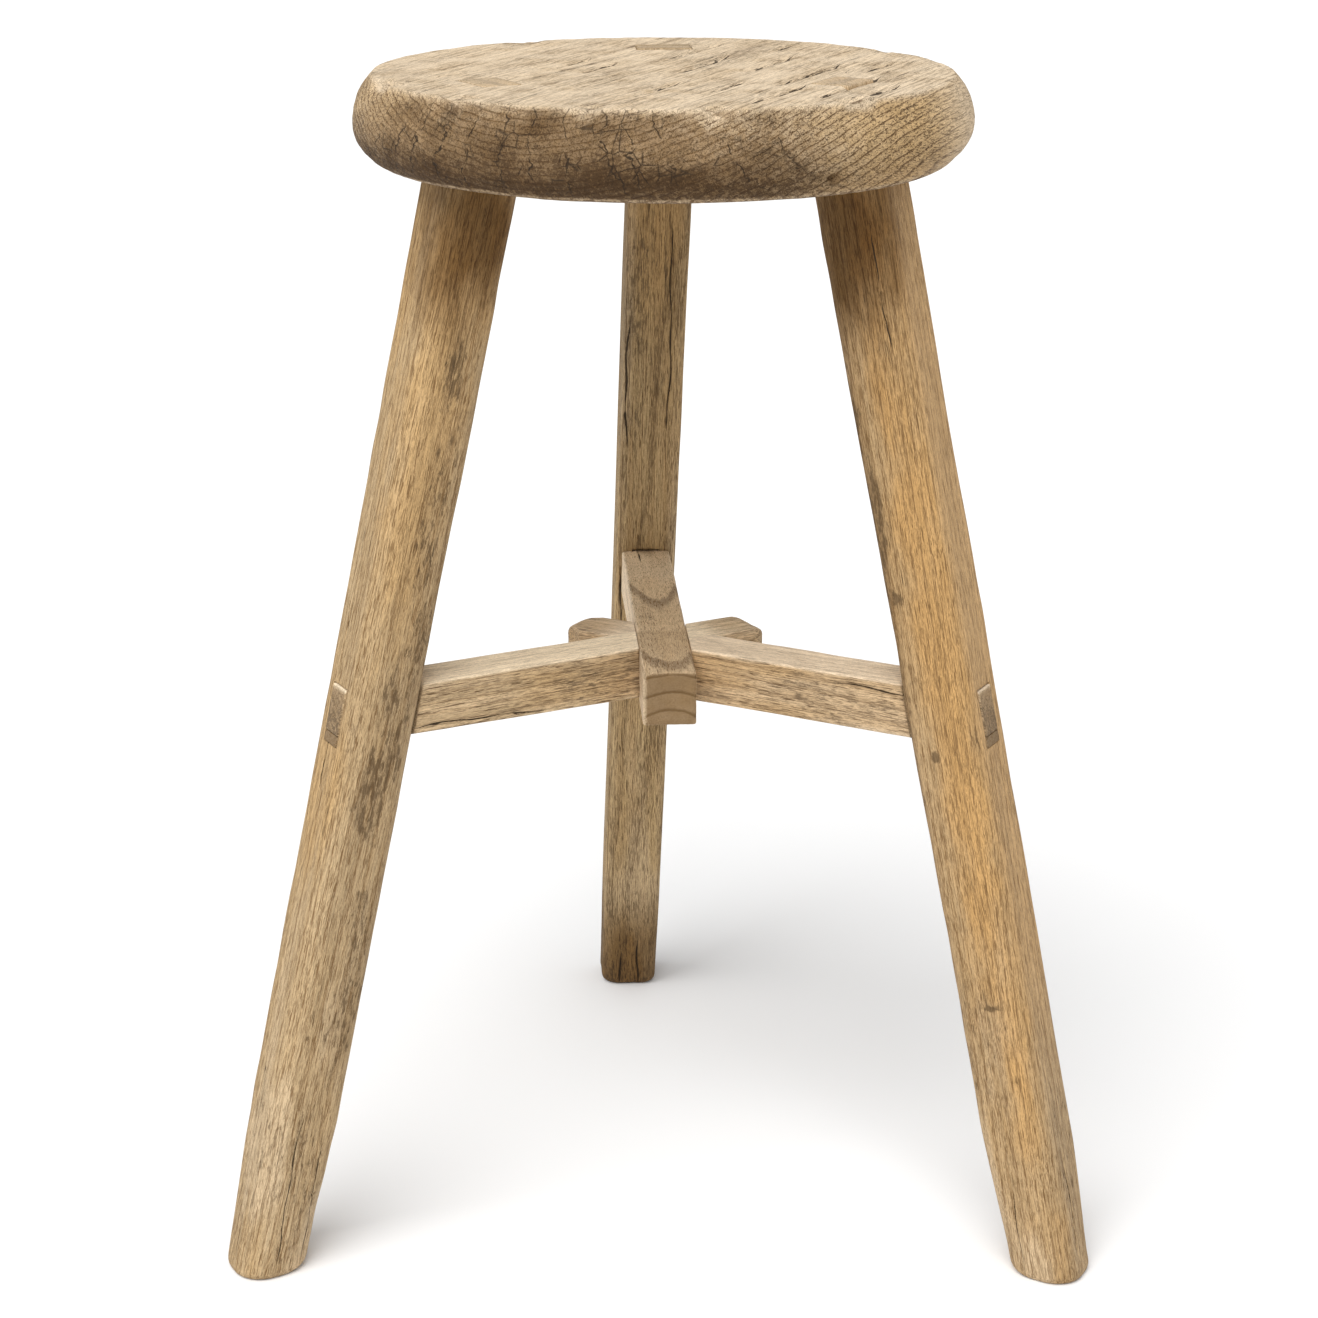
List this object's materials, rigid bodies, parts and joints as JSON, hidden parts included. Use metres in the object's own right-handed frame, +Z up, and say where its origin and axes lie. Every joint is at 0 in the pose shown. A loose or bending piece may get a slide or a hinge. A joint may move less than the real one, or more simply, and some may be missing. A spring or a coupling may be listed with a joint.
{
  "type": "three-legged wooden stool",
  "caption": "Low stool: a thick round seat on splayed, squared legs tenoned through it, tied by stretchers that cross in a lap joint under the seat.",
  "frame": {"origin": "on the floor, at the middle of the stool's footprint", "axes": "+Z up, -Y towards the front, where the two front legs stand; +X to the right seen from the front"},
  "size_m": [0.38, 0.3388, 0.5],
  "materials": {
    "seat_wood": "dry, greyed and unfinished, with open checks",
    "front_leg_wood": "dry, golden, unfinished, worn smooth with dark pores",
    "back_leg_wood": "dry, olive brown, unfinished, worn smooth with dark pores",
    "stretcher_wood": "dry, pale tan, unfinished",
    "wedge_wood": "dry, grey brown, unfinished"
  },
  "bodies": {
    "root": {"seat": "seat_wood", "leg_left": "front_leg_wood", "leg_right": "front_leg_wood", "leg_back": "back_leg_wood", "stretcher_left": "stretcher_wood", "stretcher_right": "stretcher_wood", "stretcher_back": "stretcher_wood", "seat_wedge_left": "wedge_wood", "seat_wedge_right": "wedge_wood", "seat_wedge_back": "wedge_wood", "stretcher_wedge_left": "wedge_wood", "stretcher_wedge_right": "wedge_wood", "stretcher_wedge_back": "wedge_wood"}
  },
  "joints": []
}
